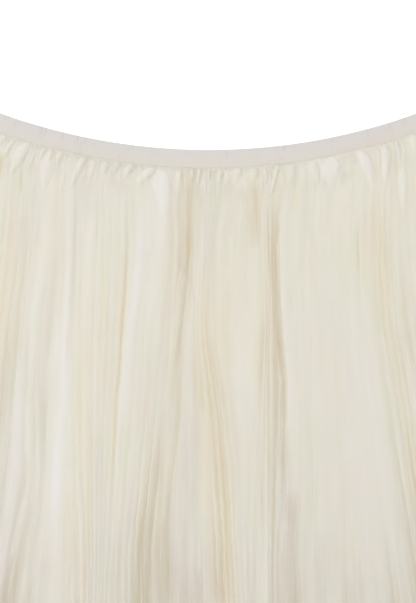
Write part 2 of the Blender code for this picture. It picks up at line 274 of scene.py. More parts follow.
    (47.2, 47.3, 13, 36, 0.2, 0.2, -0.3, -0.2, 1.2, 0),
    (47.6, 46.7, 70, 115, 0.2, 0.2, -0.3, -0.4, -0.1, 0),
    (47.6, 47.4, 90, 280, 0.3, 0.3, -0.2, -0.3, 0.25, 0),
    (47.95, 47.95, 250, 480, 0.2, 0.2, 0.2, 0.7, -0.2, 0),
    (48.2, 48.2, 0, 300, 1.5, 1.0, 0, -0.2, -0.2, 0.2),
    (48.2, 47.8, 50, 145, 0.12, 0.12, 0.2, 0.5, 0, 0),
    (48.5, 48.5, 260, 480, 0.2, 0.2, -0.2, -0.55, 0, 0),
    (48.9, 49.1, 13, 64, 0.15, 0.15, 0.3, 0.5, 0, 0),
    (48.95, 48.9, 245, 480, 0.2, 0.2, 0.2, 0.65, -0.2, 0),
    (50.0, 49.8, 45, 100, 0.1, 0.1, 0.2, 0.8, 0, 0),
    (50.3, 50.0, 30, 300, 2.3, 2.2, 0.6, 0.1, 0, -0.3),
    (50.5, 50.45, 260, 480, 0.2, 0.2, -0.2, -0.5, 0, 0),
    (50.95, 50.9, 0, 24, 0.25, 0.3, -0.3, -0.8, 0, 0),
    (51.0, 50.9, 245, 480, 0.2, 0.2, 0.3, 1.0, -0.1, 0),
    (51.5, 50.9, 95, 300, 1.4, 1.4, 0, 0.3, 0.1, 0),
    (52.2, 52.3, 50, 92, 0.12, 0.12, -0.3, -0.5, 0.3, 0),
    (52.3, 52.3, 280, 480, 0.2, 0.2, -0.2, -0.65, -0.1, 0),
    (52.4, 52.3, 45, 110, 0.2, 0.2, -0.3, -0.5, 0.3, 0),
    (52.75, 52.8, 45, 105, 0.5, 0.5, 0, 0, 0.6, 0),
    (53.05, 53.1, 255, 480, 0.18, 0.18, 0.3, 0.65, -0.15, 0),
    (53.4, 53.35, 255, 480, 0.15, 0.2, -0.2, -0.7, 0.1, 0),
    (53.45, 53.3, 60, 450, 0.08, 2.4, -0.6, -0.3, 0.2, 0.2),
    (53.5, 53.7, 190, 290, 0.25, 0.35, -0.3, -0.5, 0.3, 0),
    (54.4, 54.0, 180, 310, 0.1, 0.1, 0.2, 0.7, 0.1, 0),
    (54.6, 54.1, 105, 175, 0.35, 0.35, -0.2, -0.25, 0, 0),
    (54.7, 56.9, 30, 190, 1.2, 1.4, -0.2, -0.15, 1.0, 0.6),
    (55.5, 56.4, 78, 135, 0.12, 0.12, 0.2, 0.7, 0, 0),
    (56.6, 55.6, 130, 420, 1.3, 1.5, -0.4, -0.35, 0.9, 0.5),
    (57.8, 57.8, 70, 170, 1.5, 2.0, 0, -0.18, 0.15, 0),

    # Large folds that stand higher towards the hem, painted lighter, with the hollows between them painted
    # in shade
    (3.4, 3.0, 330, 1350, 1.3, 1.0, 7.0, 0.5, -0.3, 0),
    (5.4, 5.0, 420, 1300, 0.7, 0.9, -2.5, -0.7, 0.3, 0),
    (8.4, 8.2, 380, 1400, 1.2, 1.6, 9.5, 0.5, -0.2, 0),
    (10.6, 10.6, 430, 1250, 0.8, 0.6, -2.5, -0.8, 0.4, 0),
    (12.8, 12.4, 470, 1450, 1.5, 1.0, 11.0, 0.6, -0.4, 0),
    (14.8, 14.6, 480, 1300, 0.7, 1.0, -2.5, -0.8, 0.3, 0),
    (18.4, 18.8, 400, 1300, 1.7, 1.2, 6.5, 0.3, 0, 0),
    (21.2, 21.4, 450, 1200, 0.8, 0.8, -2.5, -0.6, 0.3, 0),
    (24.6, 24.4, 500, 1450, 1.8, 1.1, 12.0, 0.6, -0.3, 0),
    (26.8, 26.6, 520, 1350, 0.7, 0.9, -2.5, -0.9, 0.4, 0),
    (30.2, 30.6, 560, 1400, 1.4, 1.7, 7.5, 0.3, 0.1, 0),
    (33.6, 33.8, 430, 1150, 1.0, 1.0, -2.5, -0.6, 0.2, 0),
    (37.2, 37.0, 420, 1350, 1.2, 1.0, 10.5, 0.5, -0.4, 0),
    (39.2, 39.2, 480, 1300, 0.8, 0.8, -2.5, -0.8, 0.3, 0),
    (41.8, 42.0, 520, 1450, 1.0, 1.6, 8.0, 0.4, -0.1, 0),
    (45.6, 45.4, 400, 1200, 1.0, 0.8, -2.5, -0.6, 0.3, 0),
    (48.4, 48.8, 460, 1450, 1.7, 1.2, 11.5, 0.6, -0.2, 0),
    (51.0, 51.2, 430, 1250, 0.8, 0.9, -2.5, -0.8, 0.2, 0),
    (54.0, 54.2, 400, 1400, 1.3, 1.1, 8.5, 0.5, -0.3, 0),
    (57.0, 57.2, 360, 1150, 0.9, 0.8, -2.5, -0.6, 0.3, 0),
    (59.8, 59.6, 330, 1400, 1.2, 1.4, 9.5, 0.5, -0.3, 0),
    (62.6, 62.4, 380, 1250, 0.7, 0.6, -2.5, -0.7, 0.2, 0),
    (64.2, 64.0, 420, 1400, 0.8, 0.8, 4.5, 0.4, -0.1, 0),
)
# The back's folds have no relief: only painted shade and painted light, with their tints
BACK_FOLDS = (
    # from, to, start, end, left, right, lift, tone, warmth, crisp
    (9.0, 8.6, 30, 420, 1.2, 1.6, 0, -0.5, 0.3, 0),
    (17.0, 17.6, 90, 620, 1.5, 0.9, 0, 0.6, -0.4, 0),
    (28.0, 28.3, 10, 300, 1.0, 1.4, 0, -0.6, 0.4, 0),
    (36.5, 36.0, 240, 880, 1.8, 1.2, 0, 0.5, -0.3, 0),
    (47.0, 47.5, 20, 360, 0.9, 1.3, 0, -0.5, 0.5, 0),
    (56.0, 55.4, 160, 760, 1.4, 1.4, 0, 0.5, -0.4, 0),
)

# How far below the band, in mm, pleats start to stand up, at some pleats across the front
PLEATS_OPEN = (
    (0, 290), (8, 330), (16, 290), (24, 360), (31, 320),
    (40, 350), (50, 245), (58, 255), (66, 290),
)

# Lobes of gathered cloth that puff out below the band. They lean outward from one pleat to
# another as they go down, and narrow towards their foot. Their tone is painted light on them, and
# their warmth a pearly painted sheen or a golden painted shade.
FRONT_LOBES = (
    # from, to, half width in pleats, top and foot in mm below the band, height in mm, tone, warmth
    (8.1, 7.0, 0.40, 0, 19, 1.5, 0.4, 0.3),
    (10.2, 8.2, 1.00, 0, 28, 2.2, 0.5, 0.0),
    (11.8, 10.6, 0.35, 4, 24, 1.0, 0.2, 0.0),
    (13.0, 12.8, 0.40, 0, 11, 1.5, 0.3, 0.1),
    (14.2, 14.0, 0.50, 0, 13, 1.6, 0.3, 0.1),
    (13.9, 13.4, 1.10, 6, 31, 1.3, 0.6, -0.2),
    (15.5, 15.3, 0.50, 0, 12, 1.7, 0.3, 0.1),
    (16.4, 15.3, 0.30, 15, 36, 1.0, 0.6, -0.3),
    (18.9, 16.9, 0.60, 0, 27, 1.6, 0.4, 0.0),
    (20.5, 20.0, 0.40, 2, 17, 1.3, 0.2, 0.2),
    (22.1, 21.9, 0.70, 1, 11, 1.6, 0.3, 0.1),
    (23.8, 23.4, 0.45, 0, 9, 1.2, 0.1, 0.0),
    (25.4, 24.7, 0.55, 0, 13, 1.7, 0.4, 0.1),
    (27.7, 26.2, 0.75, 1, 15, 2.0, 0.5, -0.2),
    (28.8, 29.4, 1.15, 2, 38, 1.8, 0.8, -0.6),
    (31.0, 30.9, 0.50, 2, 13, 1.3, 0.1, 0.1),
    (33.0, 32.9, 0.35, 0, 11, 1.4, 0.2, 0.2),
    (34.4, 33.9, 0.45, 0, 14, 1.7, 0.4, -0.1),
    (36.4, 36.2, 0.40, 1, 11, 1.4, 0.2, 0.1),
    (38.8, 38.3, 0.50, 1, 14, 1.8, 0.4, 0.0),
    (39.6, 39.6, 0.35, 2, 12, 1.3, 0.3, 0.0),
    (40.3, 40.0, 0.40, 0, 13, 1.7, 0.4, 0.0),
    (41.5, 41.4, 0.55, 1, 11, 1.5, 0.3, 0.1),
    (43.6, 43.6, 0.50, 2, 13, 1.5, 0.2, 0.1),
    (46.0, 44.5, 0.45, 0, 24, 1.7, 0.4, -0.3),
    (46.9, 46.9, 0.35, 1, 15, 1.4, 0.3, 0.0),
    (48.5, 48.9, 0.40, 0, 19, 1.6, 0.5, 0.0),
    (49.2, 49.4, 0.35, 0, 17, 1.6, 0.4, -0.3),
    (49.9, 49.9, 0.80, 0, 24, 2.2, 0.9, -0.6),
    (51.7, 51.7, 0.80, 0, 10, 1.2, -0.1, 0.2),
    (52.4, 53.8, 0.75, 0, 30, 2.1, 0.8, -0.6),
    (56.0, 55.9, 1.10, 1, 31, 1.6, 0.5, -0.2),
    (57.6, 57.6, 0.40, 0, 12, 1.3, 0.2, 0.1),
    (58.2, 58.0, 0.35, 0, 17, 1.5, 0.3, 0.0),
    (58.5, 58.5, 0.80, 20, 56, 1.2, 0.7, -0.2),
    (60.4, 60.6, 0.70, 0, 18, 1.8, 0.5, 0.0),
)
LOBES_SHOWN = (7, 61)

# The cloth's colours, from deep painted shade, partly for stacked layers, to painted light where it is
# thin over white, and the tints laid over them: pearly as a painted sheen or golden as painted warm
# shade, and faint hues at random
CLOTH_TONES = (
    (0.0, (0.72, 0.655, 0.545)),
    (0.38, (0.862, 0.841, 0.775)),
    (0.5, (0.902, 0.882, 0.812)),
    (1.0, (0.962, 0.953, 0.938)),
)
CLOTH_TINTS = ((0.0, (0.985, 0.968, 1.0)), (0.5, (1.0, 1.0, 1.0)), (1.0, (1.0, 0.94, 0.83)))
CLOTH_HUES = ((0.0, (1.0, 0.978, 0.988)), (0.5, (1.0, 1.0, 1.0)), (1.0, (0.982, 0.998, 0.968)))

# The elastic's colours, from its lower edge to its upper one
BAND_COLORS = ((0.0, (0.656, 0.619, 0.559)), (0.5, (0.65, 0.614, 0.573)), (1.0, (0.63, 0.606, 0.586)))
BAND_TINTS = ((0.0, (1.0, 0.982, 0.99)), (0.5, (1.0, 1.0, 1.0)), (1.0, (0.985, 1.0, 0.985)))

# The rolled edges' colours, between and on their stitches
HEM_COLORS = ((0.0, (0.72, 0.68, 0.60)), (1.0, (0.86, 0.84, 0.78)))

# Rows across a panel in mm below the band: those under it, then down to where, how far apart
UNDER_BAND = (-4.0, -1.2, -0.6, -0.3)
FRONT_STEPS = ((0.6, 0.15), (4, 0.7), (26, 1.2), (60, 2.0), (330, 3.2), (950, 12.0))
BACK_STEPS = ((4, 1.0), (24, 3.0), (950, 12.0))

# A noise cell in mm that is longer than the skirt, for what stays the same all the way down
ALL_DOWN = 1000

# The table, the white room's light low round the walls and overhead, and the lamps
TABLE_HALF_WIDTH = 30.0
TABLE_DROP = 0.3 * MM
ROOM_LIGHT = (1.0, 0.70)
ROOM_LIGHT_HEIGHTS = (0.4, 0.8)  # of a direction's z, between which one fades into the other
LAMPS_AIM = (0, 0.2, 0)
LAMPS = (
    # name, place, width, power in watts
    ("overhead", (0, WAIST_Y + 0.2, 1.7), 0.9, 6.2),
    ("side", (-2.6, 0.9, 1.9), 1.2, 22),
)

# The picture, which shows the skirt's centre line in one column and the band's top in one row
PIXEL = 0.70 * MM
PICTURE_ROWS = 603
PICTURE_COLUMNS = 416
CENTRE_LINE_COLUMN = 208.65
BAND_TOP_ROW = 149.83
CAMERA_DISTANCE = 1.8
SENSOR_WIDTH = 36


# ------------------------------
# Curves and noise


def smooth_through(knots, values, wanted):
    """A curve through values at rising knots that never overshoots them, read at wanted."""
    knots = np.asarray(knots, float)
    values = np.asarray(values, float)
    steps = np.diff(knots)
    slopes = np.diff(values) / steps
    inner = slopes[:-1] * slopes[1:]
    spread = np.abs(slopes[:-1]) + np.abs(slopes[1:]) + 1e-12
    middle = np.where(inner > 0, 2 * inner * np.sign(slopes[1:]) / spread, 0)
    tangents = np.concatenate([slopes[:1], middle, slopes[-1:]])
    span = np.clip(np.searchsorted(knots, wanted, side="right") - 1, 0, len(steps) - 1)
    step = steps[span]
    t = (wanted - knots[span]) / step
    start = values[span] * (1 + 2 * t) * (1 - t) ** 2 + tangents[span] * step * t * (1 - t) ** 2
    end = values[span + 1] * t**2 * (3 - 2 * t) + tangents[span + 1] * step * t**2 * (t - 1)
    return start + end


def eased(t):
    """0 to 1 with level ends."""
    t = np.clip(t, 0, 1)
    return t * t * (3 - 2 * t)


def wander(seed, down, across, down_cell, across_cell):
    """Smooth noise from -1 to 1 over a grid of places, with cells of the two sizes given."""
    random = np.random.default_rng(seed)
    down, across = down / down_cell, across / across_cell
    down, across = down - down.min(), across - across.min()
    cells = random.uniform(-1, 1, (int(down.max()) + 2, int(across.max()) + 2))
    j, i = np.floor(down).astype(int), np.floor(across).astype(int)
    t, s = eased(down - j), eased(across - i)
    upper = cells[j, i] * (1 - s) + cells[j, i + 1] * s
    lower = cells[j + 1, i] * (1 - s) + cells[j + 1, i + 1] * s
    return upper * (1 - t) + lower * t


# ------------------------------
# The pleated panels


def on_arc(along, radius):
    """The points at distances along the band's middle line, moved to another radius."""
    angle = along / BAND_MID_RADIUS
    return radius * np.sin(angle), BAND_LOW_RADIUS - radius * np.cos(angle)


def row_distances(steps):
    """How far below the band each row of a panel lies, from under the band to the hem."""
    rows = list(UNDER_BAND)
    at = 0.0
    for end, step in steps:
        count = round((end - at) / step)
        rows += [at + (end - at) * k / count for k in range(count)]
        at = end
    return np.array([*rows, at]) * MM


def pleat_columns():
    """Where the columns of points lie, in pleats: close together at the creases."""
    columns = [pleat + share for pleat in range(PLEATS) for share in CREASE_SHARES]
    return np.array([*columns, PLEATS])


def panel_plan(line_table, pleats, beyond):
    """Where each fold line runs: x and y for every row and pleat, at a distance beyond the band."""
    lines = np.array(line_table, float)
    placed = [smooth_through(lines[:, 0], column, pleats) * MM for column in lines.T[1:]]
    band_x, band_y = on_arc(placed[0], BAND_LOW_RADIUS)
    turn_x, turn_y = on_arc(placed[0], BAND_LOW_RADIUS + TURN)
    hem_x = placed[-1]
    hem_y = -SKIRT_LENGTH + HEM_SIDE_RISE * (hem_x / HEM_HALF_WIDTH) ** 2
    hem_y += HEM_WAVE * wander(21, 0 * pleats, pleats, 1.0, 3.0)
    x = np.empty((len(beyond), len(pleats)))
    y = np.empty_like(x)
    share = beyond / SKIRT_LENGTH
    for i in range(len(pleats)):
        y[:, i] = band_y[i] + (hem_y[i] - band_y[i]) * share
        drops = [-band_y[i], -turn_y[i], *DEPTHS, -hem_y[i]]
        across = [band_x[i], turn_x[i], *(level[i] for level in placed[1:-1]), hem_x[i]]
        x[:, i] = smooth_through(drops, across, -y[:, i])
    return x, y


class Panel:
    """A panel's grid: where each point lies, on which pleat, and how far below the band."""

    def __init__(self, line_table, steps):
        self.pleats = pleat_columns()
        beyond = row_distances(steps)
        self.x, self.y = panel_plan(line_table, self.pleats, beyond)
        self.pleat = np.broadcast_to(self.pleats, self.x.shape)
        self.down = np.broadcast_to(beyond[:, None], self.x.shape)
        self.x += PLEAT_SWAY * self.wander(22, 160, 11.0) * self.past(320, 520)

    def wander(self, seed, down_cell, across_cell):
        """Smooth noise from -1 to 1, with cells in mm down the panel and in pleats across it."""
        return wander(seed, self.down, self.pleat, down_cell * MM, across_cell)

    def past(self, start, end):
        """0 above one distance in mm below the band and 1 below another, eased between them."""
        return eased((self.down - start * MM) / ((end - start) * MM))


def fold_fields(folds, panel):
    """What the folds give each point: lift in mm, tone, warmth and crispness."""
    fields = np.zeros((4, *panel.pleat.shape))
    for first, last, start, end, left, right, *amounts in folds:
        share = ((panel.down / MM - start) / (end - start)).clip(0, 1)
        away = panel.pleat - first - (last - first) * share
        reach = np.where(away < 0, left, right)
        along = np.sin(np.pi * share).clip(0) ** FOLD_BLUNTNESS
        weight = np.exp(-((away / reach) ** 2)) * along
        for field, amount in zip(fields, amounts):
            field += amount * weight
    return fields


def lobe_rows(lobes, shown, seed):
    """The lobes listed, and others like them where the band isn't seen close."""
    random = np.random.default_rng(seed)
    rows = list(lobes)
    for start, end, outward in ((0.5, shown[0], -1), (shown[1] + 0.5, PLEATS - 0.5, 1)):
        centre = start
        while centre < end:
            half = random.uniform(0.35, 0.9)
            foot = random.uniform(10, 26)
            lean = outward * random.uniform(0.2, 1.2)
            rows.append((centre, centre + lean, half, 0, foot, random.uniform(1.2, 2.0), 0.4, -0.1))
            centre += half * random.uniform(1.4, 2.2)
    return rows


def lobe_fields(lobes, panel):
    """The height in metres that the gathered lobes give each point, and their painted light and shade as
    tone and warmth.
    """
    height, tone, warmth = (np.zeros_like(panel.pleat) for _ in range(3))
    for first, last, half, top, foot, rise, shade, gold in lobes:
        share = ((panel.down / MM - top) / (foot - top)).clip(0, 1)

        # A lobe swells to its full width, narrows towards its foot, and has a round back
        width = half * (0.6 + 0.4 * eased(share / 0.3)) * (1 - 0.85 * share**1.5)
        away = np.abs(panel.pleat - first - (last - first) * share) / width
        weight = np.sqrt((1 - away**2).clip(0) * (share / 0.12).clip(0, 1)) * (1 - share**3)
        height = np.maximum(height, rise * MM * weight)
        # Painted light on the lobe, strongest over its middle, and its pearly or golden painted tint
        tone += shade * weight
        warmth += gold * weight
    return height, tone, warmth


def zigzag(pleat):
    """A pressed pleat's height from 0 in its valleys to 1 on its ridges, with soft creases."""
    sharpness = 0.99
    return 0.5 - np.arcsin(sharpness * np.cos(2 * np.pi * pleat)) / (2 * math.asin(sharpness))


def pleat_heights(panel, steepest):
    """How far ridges stand above valleys: faces keep their width, up to the steepest slope."""
    half_pitch = np.abs(np.gradient(panel.x, panel.pleats, axis=1)) / 2
    standing = np.sqrt((PLEAT_FACE**2 - half_pitch**2).clip(LOWEST_PLEAT**2))
    return np.minimum(standing, half_pitch * np.tan(steepest))


def narrowness(panel):
    """1 where pleats lie close together, falling off where they spread."""
    pitch = np.abs(np.gradient(panel.x, panel.pleats, axis=1))
    return (NARROW_PITCH / pitch.clip(NARROW_PITCH)) ** 2


def crease_tone(pleat):
    """Thin lines of painted highlight on ridges, and weaker ones of painted shade in valleys."""
    from_crease = np.abs(pleat * 2 - np.round(pleat * 2)) / 2
    line = (1 - from_crease / CREASE_HALF_WIDTH).clip(0)
    return np.where(np.round(pleat * 2) % 2 == 1, line, -0.6 * line)


def side_share(pleat):
    """1 on a panel's side edges, fading to 0 within one pleat."""
    return 1 - eased(np.minimum(pleat, PLEATS - pleat))


def mesh_object(name, points, faces, **attributes):
    """A smooth mesh with a value for each point in each named attribute."""
    mesh = bpy.data.meshes.new(name)
    mesh.from_pydata(points, [], faces)
    for label, values in attributes.items():
        layer = mesh.attributes.new(label, "FLOAT", "POINT")
        layer.data.foreach_set("value", np.asarray(values, np.float32).ravel())
    mesh.shade_smooth()
    piece = bpy.data.objects.new(name, mesh)
    bpy.context.collection.objects.link(piece)
    return piece


def sheet_object(name, panel, z, facing_up, **attributes):
    """A panel's open grid of quads, with a value for each point in each named attribute."""
    rows, columns = z.shape
    points = np.stack([panel.x, panel.y + WAIST_Y, z], axis=-1).reshape(-1, 3)
    corner = np.arange((rows - 1) * columns).reshape(rows - 1, columns)[:, :-1].ravel()
    around = (corner, corner + columns, corner + columns + 1, corner + 1)
    if not facing_up:
        around = around[::-1]
    faces = np.stack(around, axis=-1).tolist()
    return mesh_object(name, points.tolist(), faces, pleat=panel.pleat, down=panel.down, **attributes)


def front_folds(panel):
    """The front's folds: lift, tone, warmth and crispness, made uneven along and across them."""
    lift, tone, warmth, crisp = fold_fields(FRONT_FOLDS, panel)
    broken = 1 + 0.5 * panel.wander(10, 60, 0.6)
    crisp = 0.4 + crisp + 0.25 * panel.wander(14, 40, 2.0)
    return lift, tone * broken, warmth * broken, crisp.clip(0.08, 1.3)


def stray_creases(panel, crisp, narrow):
    """Move each crease a little off its line, so that neighbours squeeze together unevenly."""
    jagged = 0.05 * panel.wander(4, 13, 0.6)
    jagged += (0.03 + 0.06 * crisp) * panel.wander(13, 6, 0.5)
    stray = 0.24 * panel.wander(3, 170, 1.0) + jagged * narrow
    stray *= panel.past(0, 30) * eased(panel.pleat / 2) * eased((PLEATS - panel.pleat) / 2)
    moved = np.clip(panel.pleat + stray, 0, PLEATS)
    for row, places in zip(panel.x, moved):
        row[:] = np.interp(places, panel.pleats, row)


def front_gathers(panel):
    """The gathers below the band: the heights of lobes and bunches, the notches, and their painted light and
    shade as tone and warmth.
    """
    lobes, lobe_tone, lobe_warmth = lobe_fields(lobe_rows(FRONT_LOBES, LOBES_SHOWN, 11), panel)

    # Small bunches between the lobes, before the pleats start, with strokes of painted light and shade over
    # them
    bunch = panel.past(0, 3) * (1 - panel.past(8, 28))
    bunches = 0.5 * MM * bunch * panel.wander(8, 12, 0.5)
    painted_gather_strokes = 0.5 * bunch * panel.wander(18, 14, 0.3)

    # Notches between lobes, where the cloth leaves the band lowest. They are also painted darker, as shade.
    beside_band = 1 - panel.past(0, 3)
    patchy = (0.5 + panel.wander(15, ALL_DOWN, 3.0)).clip(0, 1)
    between_lobes = (1 - lobes / (0.8 * MM)).clip(0)
    notch = beside_band * between_lobes * panel.wander(12, ALL_DOWN, 0.22).clip(0) * patchy

    # Short lines of painted shade in the tops of some lobes, standing for the shadows of small crinkles
    painted_crinkle_shade = 1.6 * (panel.wander(17, 2.2, 0.2) - 0.5).clip(0) * patchy
    painted_crinkle_shade *= panel.past(0, 1.5) * (1 - panel.past(7, 14))

    # Painted light on the cloth a little below the band; painted shade in the notches, the bunches, right
    # beside the band and in the crinkles
    painted_rim_light = 0.3 * panel.past(1.5, 4.5) * (1 - panel.past(9, 16))
    shaded = 0.4 * notch + 0.15 * bunch + 0.2 * beside_band + painted_crinkle_shade
    return lobes, bunches, notch, 1.3 * lobe_tone + painted_rim_light + painted_gather_strokes - shaded, lobe_warmth


def front_heights(panel, lift, crisp, standing, lobes, bunches, notch):
    """How high the front's sheet lies: its floor, folds, bunches and pleats, and its lobes."""
    inward = 1 - np.abs(2 * panel.pleat / PLEATS - 1) ** 12
    rest = 2.5 * panel.past(0, 60) + 1.4 * panel.wander(6, 110, 4.0)
    raised = (rest + lift).clip(0) * inward * MM

    steepest = SOFTEST_FACE + (STEEPEST_FACE - SOFTEST_FACE) * standing
    uneven = 0.85 + 0.35 * panel.wander(5, 80, 1.0) + 0.2 * panel.wander(9, 200, 3.0)
    ridges = pleat_heights(panel, steepest) * crisp * uneven * zigzag(panel.pleat) * panel.past(6, 56)

    # The cloth comes out through the band's lower edge
    emerged = panel.past(-1.0, -0.3)
    floor = FRONT_TUCKED + (FRONT_EMERGED - FRONT_TUCKED) * emerged
    floor += (FRONT_FLOOR + CLOTH_RISE - BAND_DEPTH) * panel.past(0, 2.5) - 0.5 * MM * notch * emerged
    z = floor + (raised + bunches + ridges) * emerged + lobes

    # The side edges come down to the back panel's, where they are sewn together
    return z + (SIDE_SEAM_Z - z) * side_share(panel.pleat) * emerged


def pleat_tone(panel, crisp, lined, standing):
    """The painted highlights and shade that creases and pleat faces add, and painted shade that darkens the
    cloth further below the waist.
    """
    creases = crease_tone(panel.pleat) * (0.09 + 0.38 * crisp) * panel.past(0, 40)
    # Ridges painted lighter and valleys painted darker across each pleat's faces
    faces = (0.22 * lined + 0.38 * standing) * (2 * zigzag(panel.pleat) - 1)
    painted_falloff = 0.35 * panel.past(150, 340) + 0.12 * panel.past(245, 305)
    return creases + faces - painted_falloff


def make_front():
    """The front panel, with its gathers under the band and its listed folds."""
    panel = Panel(FRONT_LINES, FRONT_STEPS)

    # Pleats are pressed flat below the waist. Lower down they get painted light and shade lines, then stand
    # up.
    opened = panel.down - smooth_through(*np.transpose(PLEATS_OPEN), panel.pleats) * MM
    lined = eased(opened / (130 * MM))
    standing = eased(opened / (300 * MM))

    lift, tone, warmth, crisp = front_folds(panel)
    narrow = narrowness(panel)
    stray_creases(panel, crisp, narrow)
    crisp += 0.25 * panel.past(170, 300)
    crisp += (1 - crisp) * standing

    lobes, bunches, notch, gather_tone, gather_warmth = front_gathers(panel)
    z = front_heights(panel, lift, crisp, standing, lobes, bunches, notch)
    # Painted light and shade from the gathers, creases and pleat faces, and a painted fall-off of light that
    # makes the cloth less golden lower down
    tone += gather_tone + pleat_tone(panel, crisp, lined, standing)
    warmth += gather_warmth - 0.3 * panel.past(235, 305)
    # How strong the thin lines of painted light and shade along the fine creases are
    painted_line_strength = (0.3 + crisp) * panel.past(0, 25) * (1 - 0.5 * lined)
    return sheet_object(
        "cloth_front", panel, z, facing_up=True,
        tone=tone, warmth=warmth, crisp=painted_line_strength, narrow=narrow,
    )


def make_back():
    """The back panel, pressed flat on the surface by the front, with plainer folds."""
    panel = Panel(BACK_LINES, BACK_STEPS)
    _, tone, warmth, _ = fold_fields(BACK_FOLDS, panel)
    opened = panel.past(0, 16)
    floor = BACK_TUCKED + (BACK_VALLEY - BACK_TUCKED) * opened
    height = np.minimum(pleat_heights(panel, STEEPEST_FACE), BACK_TALLEST_PLEAT)
    z = floor + height * (1 - zigzag(panel.pleat)) * opened
    z += (SIDE_SEAM_Z - z) * side_share(panel.pleat) * opened
    # Painted shade that deepens down the back, and ridges painted lighter than valleys
    tone -= 0.3 * panel.past(0, 330) + 0.45 * panel.past(0, 300) * (2 * zigzag(panel.pleat) - 1)
    return sheet_object(
        "cloth_back", panel, z, facing_up=False,
        tone=tone, warmth=warmth, crisp=np.full(z.shape, 0.5), narrow=narrowness(panel),
    )


def edge_bead(name, points, radius, sides=6):
    """A round bead of rolled cloth along a line of points, closed at both ends."""
    points = np.asarray(points)
    along = np.gradient(points, axis=0)
    along /= np.linalg.norm(along, axis=1)[:, None]
    level = np.cross(along, (0, 0, 1))
    level /= np.linalg.norm(level, axis=1)[:, None]
    upright = np.cross(level, along)
    turns = 2 * np.pi * np.arange(sides) / sides
    ring = level[:, None] * np.cos(turns)[:, None] + upright[:, None] * np.sin(turns)[:, None]
    verts = (points[:, None] + radius * ring).reshape(-1, 3).tolist()
    faces = [tuple(range(sides)), tuple(range(len(verts) - 1, len(verts) - 1 - sides, -1))]
    for k in range(len(points) - 1):
        for m in range(sides):
            n = (m + 1) % sides
            faces.append((k * sides + m, k * sides + n, (k + 1) * sides + n, (k + 1) * sides + m))
    lengths = np.linalg.norm(np.diff(points, axis=0, prepend=points[:1]), axis=1)
    return mesh_object(name, verts, faces, wound=np.repeat(np.cumsum(lengths), sides))


def grid_points(sheet):
    """A sheet's points again, as rows and columns."""
    count = len(sheet.data.vertices)
    places = np.empty(count * 3)
    sheet.data.vertices.foreach_get("co", places)
    columns = len(pleat_columns())
    return places.reshape(count // columns, columns, 3)


# ------------------------------
# The waistband


def band_path(step):
    """Stations round the pressed elastic ring: distance along it, height, and outward normal."""
    radius = (BAND_DEPTH - BAND_WALL) / 2
    runs = np.arange(-HALF_WAIST, HALF_WAIST, step)
    turns = np.arange(0, math.pi, step / radius)
    stations = [(along, BAND_DEPTH - BAND_WALL / 2, 0.0, 1.0) for along in runs]
    for turn in turns:
        sine, cosine = math.sin(turn), math.cos(turn)
        stations.append((HALF_WAIST + radius * sine, BAND_DEPTH / 2 + radius * cosine, sine, cosine))
    stations += [(-along, BAND_WALL / 2, 0.0, -1.0) for along in runs]
    for turn in turns:
        sine, cosine = math.sin(turn), math.cos(turn)
        stations.append((-HALF_WAIST - radius * sine, BAND_DEPTH / 2 - radius * cosine, -sine, -cosine))
    return stations


def band_profile():
    """The strip's outline: distances from its middle line, and from the middle of its wall."""
    half_flat = BAND_HEIGHT / 2 - BAND_EDGE_ROUNDNESS
    flats = [share * half_flat for share in (0.96, 0.5, 0, -0.5, -0.96)]
    profile = []
    for side in (1, -1):
        for k in range(BAND_EDGE_STEPS + 1):
            angle = side * math.pi / 2 - math.pi * k / BAND_EDGE_STEPS
            width = side * half_flat + BAND_EDGE_ROUNDNESS * math.cos(angle)
            profile.append((width, BAND_WALL / 2 * math.sin(angle)))
        profile += [(side * flat, -side * BAND_WALL / 2) for flat in flats]
    return profile


def make_band():
    """The ribbed elastic: a closed strip with soft edges, run round its flattened ring."""
    profile = band_profile()
    stations = band_path(RIB_PITCH / len(RIB_WAVE))
    verts, faces, across_band, along_band = [], [], [], []
    for k, (along, height, out_along, out_up) in enumerate(stations):
        rib = 1 - RIB_DEPTH / (BAND_WALL / 2) * RIB_WAVE[k % len(RIB_WAVE)]
        for width, thick in profile:
            shift = thick * rib
            x, y = on_arc(along + out_along * shift, BAND_MID_RADIUS - width)
            verts.append((x, y + WAIST_Y, height + out_up * shift))
            across_band.append(width / BAND_HEIGHT)
            along_band.append(k / len(RIB_WAVE))
    n = len(profile)
    for k in range(len(stations)):
        after = (k + 1) % len(stations)
        for m in range(n):
            across = (m + 1) % n
            faces.append((k * n + m, after * n + m, after * n + across, k * n + across))
    return mesh_object("band_elastic", verts, faces, across=across_band, rib=along_band)


# ------------------------------
# Materials


